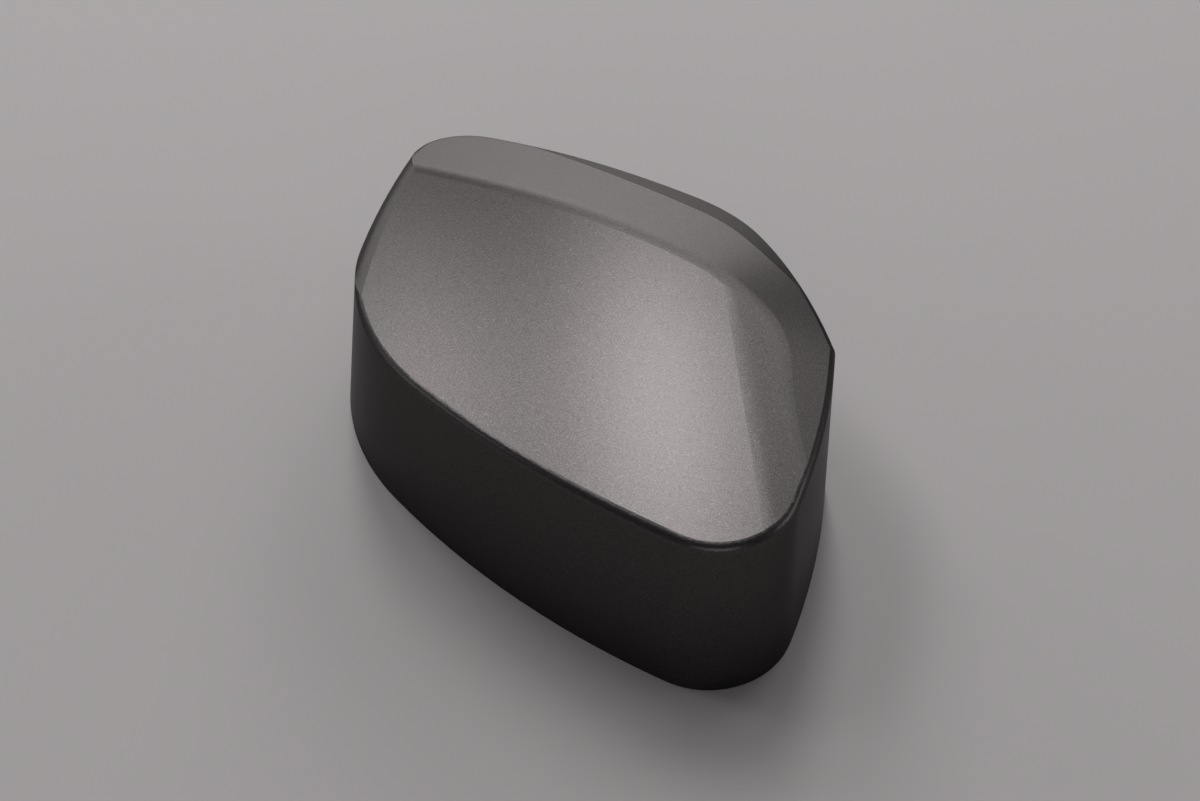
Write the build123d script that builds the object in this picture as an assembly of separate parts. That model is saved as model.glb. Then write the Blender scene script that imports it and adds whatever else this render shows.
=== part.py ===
from build123d import *
import os
from math import asin, atan2, cos, degrees, pi, radians, sin, tan

# Wing mirror cover: one moulded shell lying on its rim, millimetres and degrees, +Z up.

# Shell, and how far its forms run past the rim and the summit before they are trimmed
wall = 2.5
form_margin = 6.0

# The sides at the rim: the way each one faces, its reach and its radius in plan
front_facing = -95.5
front_reach = 71.7
front_radius = 324.0

inner_end_facing = 39.0
inner_end_reach = 87.9
inner_end_radius = 255.0

arm_side_facing = 65.5
arm_side_reach = 73.1
arm_side_radius = 283.0

back_facing = 98.6
back_reach = 72.4
back_radius = 501.0

outer_end_facing = 214.9
outer_end_reach = 92.9
outer_end_radius = 273.0

# Draft of the four long walls and of the outer end
wall_draft = 3.0
outer_end_draft = 9.3

# Corner radii, counter-clockwise from the front
tip_corner = 30.0
arm_corner = 3.0
bend_corner = 63.0
back_corner = 20.8
front_corner = 89.5

# Crowned face: a crest line with a steeper flank towards the arm side
crest_turn = 44.6
crest_offset = 45.9
summit_along = 51.5
summit_height = 79.4
crown_long_radius = 1300.0
crown_cross_radius = 576.0
crest_radius = 55.0
flank_slope = 8.0

# Band along the back: its peak in plan, the way it faces there, its radii, drop below the summit and slope
band_peak_x = 24.8
band_peak_y = 44.2
band_facing = 90.3
band_outer_radius = 155.0
band_inner_radius = 55.4
band_drop = 5.3
band_slope = 17.5

# Steeper edge strip around the bend, set out as the band is
strip_peak_x = 4.3
strip_peak_y = 54.7
strip_facing = 96.5
strip_outer_radius = 265.0
strip_inner_radius = 98.3
strip_drop = 8.4
strip_slope = 25.0

# The way both face once they run straight towards the tip
straight_facing = 27.6

# Edge radii
crease_radius = 20.0
edge_radius = 3.0

# Soft roll along the outer end, which starts just clear of the faces that it joins
end_roll = 12.0
roll_lead = 0.03

# Catch lugs on the inside of the wall: size, height above the rim and place along each side
lug_width = 14.0
lug_depth = 3.0
lug_foot = 6.0
lug_top = 14.0
lug_land = 2.0
front_lug_turn = 6.0
front_lug_spread = 6.0
inner_end_lug_turn = -13.5
arm_side_lug_turn = -6.0
back_lug_turn = 5.5
back_lug_spread = 3.0
outer_end_lug_turn = -13.0

# Locating pins at the two ends, each with a shoulder on a cross-shaped pillar
pin_radius = 3.0
pin_end = 4.0
pin_length = 12.0
pin_lead = 1.0
shoulder_radius = 5.5
shoulder_thickness = 2.0
pillar_web = 2.0
pillar_spread = 4.0
outer_pin_x = -86.0
outer_pin_y = 22.0
inner_pin_x = 84.0
inner_pin_y = -22.0


def rise_of(face):
    """How far a face looks up: one when level, nothing when upright."""
    return face.normal_at(face.center()).Z


def shared_edges(faces, others):
    """Pairs of faces with the edge that they meet at."""
    pairs = []
    for face in faces:
        for other in others:
            for edge in face.edges():
                if any(edge.is_same(twin) for twin in other.edges()):
                    pairs.append((edge, face, other))
    return pairs


def sharp_edges(faces):
    """Edges at which two of the faces meet at a visible angle."""
    found = []
    for place, face in enumerate(faces):
        for edge, one, other in shared_edges([face], faces[place + 1 :]):
            middle = edge @ 0.5
            if one.normal_at(middle).get_angle(other.normal_at(middle)) > 3:
                found.append(edge)
    return found


def turn_from_front(point):
    """Angle of a point about the Z axis, counter-clockwise from the way the front faces."""
    return (atan2(point.Y, point.X) - radians(front_facing)) % (2 * pi)


def plan_outline(spread):
    """Outline of the four long walls, moved outward by the spread, with two of its corners rounded."""
    sides = (
        (front_facing, front_reach, front_radius),
        (inner_end_facing, inner_end_reach, inner_end_radius),
        (arm_side_facing, arm_side_reach, arm_side_radius),
        (back_facing, back_reach, back_radius),
    )
    discs = []
    for facing, reach, radius in sides:
        discs.append(Rot(0, 0, facing) * Pos(reach - radius, 0) * Circle(radius + spread))
    outline = discs[0] & discs[1] & discs[2] & discs[3]
    tip, _, bend, _ = [Vector(*corner) for corner in sorted(outline.vertices(), key=turn_from_front)]
    for place, radius in ((tip, tip_corner), (bend, bend_corner)):
        corner = outline.vertices().sort_by_distance(place)[0]
        outline = fillet(corner, max(radius + spread, radius / 4))
    return outline


def outer_end_block(inset):
    """Everything within the drafted wall of the outer end."""
    height = summit_height + 2 * form_margin
    slant = radians(outer_end_draft)
    foot = outer_end_radius + form_margin * tan(slant) - inset / cos(slant)
    head = foot - height * tan(slant)
    end = Rot(0, 0, 180) * Cone(foot, head, height, align=(Align.CENTER, Align.CENTER, Align.MIN))
    return Rot(0, 0, outer_end_facing) * Pos(outer_end_reach - outer_end_radius, 0, -form_margin) * end


def wall_block(inset):
    """The drafted wall as a full block, from below the rim to above the summit."""
    height = summit_height + 2 * form_margin
    lean = tan(radians(wall_draft))
    spread = form_margin * lean - inset / cos(radians(wall_draft))
    block = extrude(Pos(0, 0, -form_margin) * plan_outline(spread), height, taper=wall_draft)
    block &= outer_end_block(inset)
    sides = [face for face in block.faces() if abs(rise_of(face)) < 0.45]
    places = sorted((edge @ 0.5 for edge in sharp_edges(sides)), key=turn_from_front)
    for place, radius in zip(places, (arm_corner, back_corner, front_corner)):
        corner = block.edges().sort_by_distance(place)[0]
        block = fillet(corner, max(radius - inset, radius / 4))
    return block


def crown_block(inset):
    """Everything below the crowned face: its cross profile swung about a far axis."""
    reach = 2 * outer_end_reach
    peak = summit_height - inset
    swell = degrees(asin(reach / crown_cross_radius))
    main = JernArc((0, peak), (-1, 0), crown_cross_radius - inset, swell)
    crest = JernArc((0, peak), (1, 0), crest_radius - inset, -flank_slope)
    flank = PolarLine(crest @ 1, reach, -flank_slope)
    left = (main @ 1).X
    right = (flank @ 1).X
    base = Polyline(main @ 1, (left, -form_margin), (right, -form_margin), flank @ 1)
    profile = make_face([main, crest, flank, base])
    axis = Axis((0, summit_height - crown_long_radius), (1, 0))
    swing = degrees(asin(reach / crown_long_radius))
    block = revolve(profile.rotate(axis, -swing), axis, 2 * swing)
    return Rot(0, 0, crest_turn) * Pos(crest_offset, summit_along, 0) * Rot(90, 0, 0) * block


def slope_block(peak_x, peak_y, facing, outer_radius, inner_radius, drop, slope, inset):
    """Everything below a slope that bends in plan: two cone sectors, then a straight ramp."""
    rise = tan(radians(slope))
    height = summit_height - drop
    low = -form_margin
    top = height + 0.7 * inner_radius * rise
    setback = inset / sin(radians(slope))
    far = 2 * outer_end_reach
    at_peak = Pos(peak_x, peak_y, 0) * Rot(0, 0, facing)

    def foot_and_head(radius):
        edge = radius - setback
        return edge + (height - low) / rise, edge - (top - height) / rise

    def sector(radius, start, turn):
        foot, head = foot_and_head(radius)
        cone = Cone(foot, head, top - low, arc_size=turn, align=None)
        return at_peak * Pos(-radius, 0, low) * Rot(0, 0, start) * cone

    straight_turn = facing - straight_facing
    foot, head = foot_and_head(inner_radius)
    outline = Polyline((-far, low), (foot, low), (head, top), (-far, top), close=True)
    ramp = extrude(Plane.XZ * make_face(outline), far)
    block = sector(outer_radius, 0, 180)
    block += sector(inner_radius, -straight_turn, straight_turn)
    block += at_peak * Pos(-inner_radius, 0, 0) * Rot(0, 0, -straight_turn) * ramp
    return block


def band_block(inset):
    """Everything below the band along the back."""
    return slope_block(
        band_peak_x,
        band_peak_y,
        band_facing,
        band_outer_radius,
        band_inner_radius,
        band_drop,
        band_slope,
        inset,
    )


def strip_block(inset):
    """Everything below the steeper edge strip."""
    return slope_block(
        strip_peak_x,
        strip_peak_y,
        strip_facing,
        strip_outer_radius,
        strip_inner_radius,
        strip_drop,
        strip_slope,
        inset,
    )


def creases(form):
    """Sharp edges on top of the form."""
    return sharp_edges([face for face in form.faces() if rise_of(face) > 0.6])


def top_border(form):
    """Edges where the top of the form meets its wall."""
    tops = [face for face in form.faces() if rise_of(face) > 0.6]
    sides = [face for face in form.faces() if abs(rise_of(face)) < 0.45]
    return [edge for edge, _, _ in shared_edges(tops, sides)]


def end_shaving(inset):
    """What the soft roll takes off the edge between the crowned face and the outer end."""
    clear = inset - roll_lead
    at_end = Rot(0, 0, outer_end_facing) * Pos(outer_end_reach, 0, 0)
    block = crown_block(clear) & outer_end_block(clear)
    block &= at_end * Box(outer_end_reach, 2 * outer_end_reach, 4 * summit_height)
    outward = Vector(1, 0, 0).rotate(Axis.Z, outer_end_facing)
    edge = max(top_border(block), key=lambda border: (border @ 0.5).dot(outward))
    level = (edge @ 0.5).Z
    rolled = fillet(edge, end_roll - inset)
    corner = Box(outer_end_reach - form_margin, 2 * outer_end_reach - form_margin, 4 * end_roll)
    return at_end * Pos(0, 0, level) * corner - rolled


def outer_form():
    """The cover as a full body, its creases and border rounded."""
    form = wall_block(0) & crown_block(0) & band_block(0)
    form = fillet(creases(form), crease_radius)
    form = fillet(top_border(form), edge_radius)
    form -= end_shaving(0)
    form &= strip_block(0)
    return split(form, Plane.XY, keep=Keep.TOP)


def inner_form():
    """The hollow as a full body: every outer face set in by the wall, reaching below the rim."""
    form = wall_block(wall) & crown_block(wall) & band_block(wall)
    form -= end_shaving(wall)
    return form & strip_block(wall)


def catch_lug(facing, reach, radius, draft, turn):
    """Ramped lug on the inside of one side wall, with its latching face on top."""
    taper = tan(radians(draft))
    inside = radius - wall / cos(radians(draft)) - lug_top * taper
    nose = inside - lug_depth
    outline = Polyline(
        (radius, lug_foot),
        (inside, lug_foot),
        (nose, lug_top - lug_land),
        (nose, lug_top),
        (radius, lug_top),
        close=True,
    )
    lug = extrude(Plane.XZ * make_face(outline), lug_width / 2, both=True)
    return Rot(0, 0, facing) * Pos(reach - radius, 0, 0) * Rot(0, 0, turn) * lug


def catch_lugs():
    """All catch lugs, two on each long side and one on each short one."""
    front = (front_facing, front_reach, front_radius, wall_draft)
    inner_end = (inner_end_facing, inner_end_reach, inner_end_radius, wall_draft)
    arm_side = (arm_side_facing, arm_side_reach, arm_side_radius, wall_draft)
    back = (back_facing, back_reach, back_radius, wall_draft)
    outer_end = (outer_end_facing, outer_end_reach, outer_end_radius, outer_end_draft)
    return [
        catch_lug(*front, front_lug_turn - front_lug_spread),
        catch_lug(*front, front_lug_turn + front_lug_spread),
        catch_lug(*inner_end, inner_end_lug_turn),
        catch_lug(*arm_side, arm_side_lug_turn),
        catch_lug(*back, back_lug_turn - back_lug_spread),
        catch_lug(*back, back_lug_turn + back_lug_spread),
        catch_lug(*outer_end, outer_end_lug_turn),
    ]


def locating_pin(x, y):
    """Round pin below a shoulder, on a cross-shaped pillar that widens up to the face."""
    low = (Align.CENTER, Align.CENTER, Align.MIN)
    seat = pin_end + pin_length
    pin = Cylinder(pin_radius, pin_length + shoulder_thickness / 2, align=low)
    pin = chamfer(pin.edges().sort_by(Axis.Z)[0], pin_lead)
    shoulder = Cylinder(shoulder_radius, shoulder_thickness, align=low)
    pin = Pos(0, 0, pin_end) * pin + Pos(0, 0, seat) * shoulder
    half_root = shoulder_radius + pillar_spread
    outline = Polyline(
        (-shoulder_radius, seat + shoulder_thickness / 2),
        (shoulder_radius, seat + shoulder_thickness / 2),
        (half_root, summit_height),
        (-half_root, summit_height),
        close=True,
    )
    web = extrude(Plane.XZ * make_face(outline), pillar_web / 2, both=True)
    return Pos(x, y, 0) * Rot(0, 0, crest_turn) * (pin + web + Rot(0, 0, 90) * web)


def mirror_cover():
    """The whole moulding, its rim on z = 0 and the middle of its box on the Z axis."""
    hollow = inner_form()
    hollow -= catch_lugs()
    hollow -= [locating_pin(outer_pin_x, outer_pin_y), locating_pin(inner_pin_x, inner_pin_y)]
    shell = outer_form() - hollow
    box = shell.bounding_box()
    return Pos(-box.center().X, -box.center().Y, -box.min.Z) * shell


if __name__ == "__main__":
    os.makedirs("parts", exist_ok=True)
    cover = mirror_cover()
    cover.label = "mirror_cover"
    export_step(cover, "parts/mirror_cover.step")
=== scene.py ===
"""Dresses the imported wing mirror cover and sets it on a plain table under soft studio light."""

import logging
import math
from dataclasses import dataclass, field
from enum import Enum

import bmesh
import bpy
from mathutils import Matrix, Vector


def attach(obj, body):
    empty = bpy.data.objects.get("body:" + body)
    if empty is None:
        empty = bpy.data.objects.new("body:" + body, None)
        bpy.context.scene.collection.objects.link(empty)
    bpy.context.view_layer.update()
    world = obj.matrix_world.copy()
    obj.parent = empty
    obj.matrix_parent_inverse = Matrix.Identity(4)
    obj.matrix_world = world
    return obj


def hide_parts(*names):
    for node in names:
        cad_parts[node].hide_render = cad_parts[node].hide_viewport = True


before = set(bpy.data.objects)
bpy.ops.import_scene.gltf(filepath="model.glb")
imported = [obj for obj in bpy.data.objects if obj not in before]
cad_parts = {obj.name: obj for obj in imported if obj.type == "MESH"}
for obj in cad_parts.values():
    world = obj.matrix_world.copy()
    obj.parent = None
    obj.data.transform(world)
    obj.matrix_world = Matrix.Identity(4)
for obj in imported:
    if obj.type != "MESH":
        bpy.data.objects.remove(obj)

LOG = logging.getLogger("mirror_cover_scene")
NODE = "mirror_cover"

# What the CAD mesh says about its shading, which the joined skin replaces
OLD_SHADING = ("custom_normal", "sharp_face", "sharp_edge")


class Skin(Enum):
    """The two skins of the moulding, in the order of their material slots."""

    OUTSIDE = 0
    INSIDE = 1


class MaterialBench:
    """A material in the making.

    Attributes:
        material: The material.
        nodes: Its nodes.
        links: The links between them.
        shader: Its shader.
    """

    def __init__(self, name: str) -> None:
        """Starts a new material.

        Args:
            name: Name of the material.
        """
        self.material = bpy.data.materials.new(name)
        self.material.use_nodes = True
        self.nodes = self.material.node_tree.nodes
        self.links = self.material.node_tree.links
        self.shader = self.nodes["Principled BSDF"]

    def noise(self, size: float, detail: float) -> bpy.types.NodeSocket:
        """Adds a noise that lies still on the piece.

        Args:
            size: Size of one grain, in metres.
            detail: How many finer layers the noise has.

        Returns:
            The noise, from 0 to 1.
        """
        place = self.nodes.new("ShaderNodeTexCoord")
        noise = self.nodes.new("ShaderNodeTexNoise")
        noise.inputs["Scale"].default_value = 1.0 / size
        noise.inputs["Detail"].default_value = detail
        self.links.new(place.outputs["Object"], noise.inputs["Vector"])
        return noise.outputs["Fac"]

    def vary_roughness(self, noise: bpy.types.NodeSocket, middle: float, spread: float) -> None:
        """Lets the roughness wander with a noise.

        Args:
            noise: The noise to follow.
            middle: Middle roughness.
            spread: How far the roughness goes below and above the middle.
        """
        gloss = self.nodes.new("ShaderNodeMapRange")
        gloss.inputs["To Min"].default_value = middle - spread
        gloss.inputs["To Max"].default_value = middle + spread
        self.links.new(noise, gloss.inputs["Value"])
        self.links.new(gloss.outputs["Result"], self.shader.inputs["Roughness"])

    def emboss(self, noise: bpy.types.NodeSocket, depth: float, strength: float) -> None:
        """Raises the surface with a noise.

        Args:
            noise: The noise to follow.
            depth: Height of the highest grains, in metres.
            strength: Share of that height which shows.
        """
        bump = self.nodes.new("ShaderNodeBump")
        bump.inputs["Strength"].default_value = strength
        bump.inputs["Distance"].default_value = depth
        self.links.new(noise, bump.inputs["Height"])
        self.links.new(bump.outputs["Normal"], self.shader.inputs["Normal"])


@dataclass(frozen=True)
class SatinPaint:
    """Satin graphite metallic paint with fine flake and a soft orange peel.

    Attributes:
        colour: Linear colour that the flakes mirror face on.
        colour_spread: How far most flakes lie below and above that colour, as a share.
        glint: How many times brighter than that colour the few flakes are that catch the light.
        dull_below: Noise below which a flake is as dull as any.
        bright_above: Noise above which a flake is brighter than most.
        glint_above: Noise above which a flake catches the light.
        flop: Share of the edge shine that the flakes keep at a grazing look.
        roughness: Middle roughness of the satin coat.
        roughness_spread: How far the roughness goes below and above the middle.
        flake_size: Size of one flake, in metres.
        flake_detail: How many finer layers the flakes have.
        peel_size: Size of one ripple of the orange peel, in metres.
        peel_detail: How many finer layers the orange peel has.
        peel_depth: Depth of the orange peel, in metres.
        peel_strength: Share of that depth which shows.
    """

    colour: tuple[float, float, float] = (0.0720, 0.0662, 0.0659)
    colour_spread: float = 0.24
    glint: float = 2.4
    dull_below: float = 0.3
    bright_above: float = 0.7
    glint_above: float = 0.86
    flop: float = 0.5
    roughness: float = 0.35
    roughness_spread: float = 0.03
    flake_size: float = 0.00045
    flake_detail: float = 1.0
    peel_size: float = 0.0016
    peel_detail: float = 0.0
    peel_depth: float = 0.000004
    peel_strength: float = 1.0

    def material(self) -> bpy.types.Material:
        """Builds the paint.

        Returns:
            The finished material.
        """
        bench = MaterialBench("satin_graphite_paint")
        bench.shader.inputs["Metallic"].default_value = 1.0
        bench.shader.inputs["Specular Tint"].default_value = (self.flop, self.flop, self.flop, 1.0)

        flake = bench.noise(self.flake_size, self.flake_detail)
        tint = bench.nodes.new("ShaderNodeValToRGB")
        dull, bright = tint.color_ramp.elements
        dull.position = self.dull_below
        dull.color = self._shade(1.0 - self.colour_spread)
        bright.position = self.bright_above
        bright.color = self._shade(1.0 + self.colour_spread)
        tint.color_ramp.elements.new(self.glint_above).color = self._shade(self.glint)
        bench.links.new(flake, tint.inputs["Fac"])
        bench.links.new(tint.outputs["Color"], bench.shader.inputs["Base Color"])

        bench.vary_roughness(flake, self.roughness, self.roughness_spread)
        peel = bench.noise(self.peel_size, self.peel_detail)
        bench.emboss(peel, self.peel_depth, self.peel_strength)
        return bench.material

    def _shade(self, share: float) -> tuple[float, float, float, float]:
        """Gives the paint's colour times a share, opaque."""
        red, green, blue = (value * share for value in self.colour)
        return red, green, blue, 1.0


@dataclass(frozen=True)
class BareMoulding:
    """Unpainted black plastic as it leaves the mould, with a fine spark texture.

    Attributes:
        colour: Linear colour of the plastic.
        roughness: Middle roughness of the surface.
        roughness_spread: How far the roughness goes below and above the middle.
        grain_size: Size of one grain of the mould texture, in metres.
        grain_detail: How many finer layers the mould texture has.
        grain_depth: Depth of the mould texture, in metres.
        grain_strength: Share of that depth which shows.
    """

    colour: tuple[float, float, float] = (0.020, 0.020, 0.021)
    roughness: float = 0.55
    roughness_spread: float = 0.08
    grain_size: float = 0.0008
    grain_detail: float = 2.0
    grain_depth: float = 0.00002
    grain_strength: float = 0.6

    def material(self) -> bpy.types.Material:
        """Builds the bare plastic.

        Returns:
            The finished material.
        """
        bench = MaterialBench("bare_moulding")
        bench.shader.inputs["Base Color"].default_value = (*self.colour, 1.0)
        grain = bench.noise(self.grain_size, self.grain_detail)
        bench.vary_roughness(grain, self.roughness, self.roughness_spread)
        bench.emboss(grain, self.grain_depth, self.grain_strength)
        return bench.material


@dataclass(frozen=True)
class TableGrey:
    """Matt grey of the table top.

    Attributes:
        colour: Linear colour of the table top.
        roughness: Its roughness.
        gloss: Its specular level.
    """

    colour: tuple[float, float, float] = (0.348, 0.330, 0.333)
    roughness: float = 0.9
    gloss: float = 0.1

    def material(self) -> bpy.types.Material:
        """Builds the grey.

        Returns:
            The finished material.
        """
        bench = MaterialBench("table_grey")
        bench.shader.inputs["Base Color"].default_value = (*self.colour, 1.0)
        bench.shader.inputs["Roughness"].default_value = self.roughness
        bench.shader.inputs["Specular IOR Level"].default_value = self.gloss
        return bench.material


@dataclass
class CoverShell:
    """The moulded shell: the CAD solid with one continuous skin, painted outside and bare inside.

    Attributes:
        paint: Finish of the outside.
        moulding: Finish of the inside.
        weld: Distance within which points of neighbouring faces are one, in metres.
        normal_layer: Name of the layer that carries the CAD surface's own normals.
        least_agreement: Cosine below which a corner's normal gives way to its face's own.
    """

    paint: SatinPaint = field(default_factory=SatinPaint)
    moulding: BareMoulding = field(default_factory=BareMoulding)
    weld: float = 0.000002
    normal_layer: str = "surface_normal"
    least_agreement: float = 0.7

    def build(self, node: bpy.types.Object) -> bpy.types.Object:
        """Makes the shell from the CAD node and puts it in the node's place.

        Args:
            node: The CAD node that the shell stands for.

        Returns:
            The dressed shell, riding on the fixed body.
        """
        mesh = self._welded(node.data)
        mesh.materials.append(self.paint.material())
        mesh.materials.append(self.moulding.material())
        shell = put_in_scene("cover_shell", mesh)
        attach(shell, "root")
        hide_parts(NODE)
        return shell

    def _welded(self, source: bpy.types.Mesh) -> bpy.types.Mesh:
        """Joins the CAD faces into one smooth skin and sorts it into outside and inside.

        Args:
            source: Mesh of the CAD node.

        Returns:
            A new mesh.
        """
        body = bmesh.new()
        body.from_mesh(source)
        self._note_normals(body, source)
        bmesh.ops.remove_doubles(body, verts=body.verts, dist=self.weld)
        outside = self._outside(body)
        for face in body.faces:
            face.smooth = True
            face.material_index = (Skin.OUTSIDE if face in outside else Skin.INSIDE).value
        mesh = bpy.data.meshes.new("cover_shell")
        body.to_mesh(mesh)
        body.free()
        self._set_normals(mesh)
        return mesh

    def _note_normals(self, body: bmesh.types.BMesh, source: bpy.types.Mesh) -> None:
        """Notes the CAD surface's own normal at every corner, so that the weld keeps it.

        Args:
            body: The solid before its faces are joined.
            source: Mesh of the CAD node.
        """
        normal = body.loops.layers.float_vector.new(self.normal_layer)
        for face, polygon in zip(body.faces, source.polygons):
            for loop, corner in zip(face.loops, polygon.loop_indices):
                way = source.corner_normals[corner].vector
                agrees = way.dot(face.normal) > self.least_agreement
                loop[normal] = way if agrees else face.normal

    def _set_normals(self, mesh: bpy.types.Mesh) -> None:
        """Gives the joined skin the normals that were noted.

        Args:
            mesh: The joined skin.
        """
        noted = mesh.attributes[self.normal_layer]
        normals = [tuple(corner.vector) for corner in noted.data]
        mesh.attributes.remove(noted)
        for name in OLD_SHADING:
            if name in mesh.attributes:
                mesh.attributes.remove(mesh.attributes[name])
        mesh.normals_split_custom_set(normals)

    def _outside(self, body: bmesh.types.BMesh) -> set[bmesh.types.BMFace]:
        """Finds the painted side: the faces reached from the top without crossing the rim.

        Args:
            body: The welded solid.

        Returns:
            The faces of the outside, down to the rim's outer edge.
        """
        floor = min(vertex.co.z for vertex in body.verts) + self.weld
        summit = max(body.faces, key=lambda face: face.calc_center_median().z)
        found = {summit}
        waiting = [summit]
        while waiting:
            face = waiting.pop()
            for edge in face.edges:
                if all(vertex.co.z < floor for vertex in edge.verts):
                    continue
                for other in edge.link_faces:
                    if other not in found:
                        found.add(other)
                        waiting.append(other)
        return found


@dataclass
class Table:
    """The plain table under the cover.

    Attributes:
        finish: Finish of its top.
        reach: Half of its width, in metres.
        drop: How far its top lies below the rim, in metres.
    """

    finish: TableGrey = field(default_factory=TableGrey)
    reach: float = 3.0
    drop: float = 0.0001

    def build(self) -> bpy.types.Object:
        """Makes the table top just below the rim.

        Returns:
            The table top.
        """
        body = bmesh.new()
        bmesh.ops.create_grid(body, x_segments=1, y_segments=1, size=self.reach)
        bmesh.ops.translate(body, verts=body.verts, vec=(0.0, 0.0, -self.drop))
        mesh = bpy.data.meshes.new("table_top")
        body.to_mesh(mesh)
        body.free()
        mesh.materials.append(self.finish.material())
        table = put_in_scene("table_top", mesh)
        return table


@dataclass(frozen=True)
class SoftLamp:
    """One soft studio lamp, set out from the camera's point of view.

    Attributes:
        name: Where the lamp hangs.
        side: Angle to the right of straight ahead, in degrees.
        height: Angle above the table, in degrees.
        width: Width of the lamp's oval face, in metres.
        tall: Height of the lamp's oval face, in metres.
        watts: Power of the lamp.
        distance: Distance from the middle of the rim, in metres.
    """

    name: str
    side: float
    height: float
    width: float
    tall: float
    watts: float
    distance: float = 3.0

    def hang(self, heading: float) -> bpy.types.Object:
        """Hangs the lamp so that it faces the cover.

        Args:
            heading: The way the camera looks in plan, counter-clockwise from +Y, in degrees.

        Returns:
            The lamp.
        """
        light = bpy.data.lights.new(self.name, "AREA")
        light.shape = "ELLIPSE"
        light.size = self.width
        light.size_y = self.tall
        light.energy = self.watts
        way = pointing(heading - self.side, self.height)
        lamp = put_in_scene(self.name, light)
        lamp.matrix_world = turned(way * self.distance, way, "Z")
        return lamp


@dataclass
class Studio:
    """Lamps and room light around the table.

    Attributes:
        heading: The way the camera looks in plan, counter-clockwise from +Y, in degrees.
        lamps: The soft lamps.
        room: Linear brightness of the room around the table.
    """

    heading: float
    lamps: tuple[SoftLamp, ...] = (
        SoftLamp("key_behind", side=-1.0, height=60.0, width=0.5, tall=1.4, watts=31.0),
        SoftLamp("overhead", side=10.0, height=81.0, width=0.7, tall=0.7, watts=7.0),
        SoftLamp("wide_left", side=-38.0, height=49.0, width=1.0, tall=1.1, watts=19.0),
        SoftLamp("high_left", side=-64.0, height=60.0, width=0.7, tall=0.7, watts=9.2),
        SoftLamp("mid_behind", side=12.0, height=31.0, width=1.4, tall=1.2, watts=8.5),
        SoftLamp("low_behind", side=1.0, height=11.5, width=2.2, tall=1.15, watts=29.0),
        SoftLamp("low_left", side=-38.0, height=16.0, width=1.6, tall=1.6, watts=13.0),
        SoftLamp("fill_right", side=37.0, height=45.0, width=1.3, tall=1.4, watts=9.2),
        SoftLamp("low_right", side=88.0, height=20.0, width=2.2, tall=1.0, watts=10.0),
        SoftLamp("low_front", side=178.0, height=20.0, width=2.2, tall=1.0, watts=8.0),
        SoftLamp("low_far_left", side=-88.0, height=20.0, width=2.2, tall=1.0, watts=5.4),
    )
    room: float = 0.105

    def build(self) -> list[bpy.types.Object]:
        """Hangs the lamps and sets the room light.

        Returns:
            The lamps.
        """
        world = bpy.data.worlds.new("room")
        world.use_nodes = True
        background = world.node_tree.nodes["Background"]
        background.inputs["Color"].default_value = (self.room, self.room, self.room, 1.0)
        bpy.context.scene.world = world
        return [lamp.hang(self.heading) for lamp in self.lamps]


@dataclass
class Viewpoint:
    """The camera, placed as the photograph was taken.

    Attributes:
        heading: The way it looks in plan, counter-clockwise from +Y, in degrees.
        tilt: How far it looks down, in degrees.
        target: The point on the table that it looks at, in metres.
        distance: Its distance from that point, in metres.
        lens: Its focal length, in millimetres.
        sensor: Width of its sensor, in millimetres.
        nearest: Distance from which on it sees things, in metres.
    """

    heading: float = 40.36
    tilt: float = 47.0
    target: tuple[float, float, float] = (-0.00506, 0.01474, 0.0)
    distance: float = 0.59984
    lens: float = 48.0
    sensor: float = 36.0
    nearest: float = 0.01

    def build(self) -> bpy.types.Object:
        """Places the camera and makes it the scene's own.

        Returns:
            The camera.
        """
        data = bpy.data.cameras.new("viewpoint")
        data.lens = self.lens
        data.sensor_width = self.sensor
        data.clip_start = self.nearest
        look = pointing(self.heading, -self.tilt)
        camera = put_in_scene("viewpoint", data)
        camera.matrix_world = turned(Vector(self.target) - look * self.distance, look, "-Z")
        bpy.context.scene.camera = camera
        return camera


def put_in_scene(name: str, data: bpy.types.ID) -> bpy.types.Object:
    """Makes an object of a mesh, a lamp or a camera and adds it to the scene.

    Args:
        name: Name of the object.
        data: The mesh, lamp or camera.

    Returns:
        The object, at the origin.
    """
    thing = bpy.data.objects.new(name, data)
    bpy.context.scene.collection.objects.link(thing)
    return thing


def pointing(turn: float, rise: float) -> Vector:
    """Gives a direction.

    Args:
        turn: Its angle in plan, counter-clockwise from +Y, in degrees.
        rise: Its angle above the table, in degrees.

    Returns:
        The direction, of length 1.
    """
    plan, up = math.radians(turn), math.radians(rise)
    return Vector((-math.sin(plan) * math.cos(up), math.cos(plan) * math.cos(up), math.sin(up)))


def turned(place: Vector, way: Vector, axis: str) -> Matrix:
    """Gives the place and turn of a lamp or camera.

    Args:
        place: Where it stands, in metres.
        way: The direction that its axis follows.
        axis: The axis that follows that direction.

    Returns:
        The matrix for the object.
    """
    return Matrix.Translation(place) @ way.to_track_quat(axis, "Y").to_matrix().to_4x4()


def main() -> None:
    """Builds the cover, the table, the lamps and the camera, and logs what it made."""
    logging.basicConfig(level=logging.INFO)
    bpy.context.scene.view_settings.view_transform = "Standard"
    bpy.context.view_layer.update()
    viewpoint = Viewpoint()
    shell = CoverShell().build(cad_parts[NODE])
    LOG.info("%s: %d faces", shell.name, len(shell.data.polygons))
    table = Table().build()
    LOG.info("%s: stands below the cover", table.name)
    for lamp in Studio(viewpoint.heading).build():
        LOG.info("%s: %.1f W", lamp.name, lamp.data.energy)
    camera = viewpoint.build()
    LOG.info("%s: %.0f mm lens", camera.name, camera.data.lens)


if __name__ == "__main__":
    main()
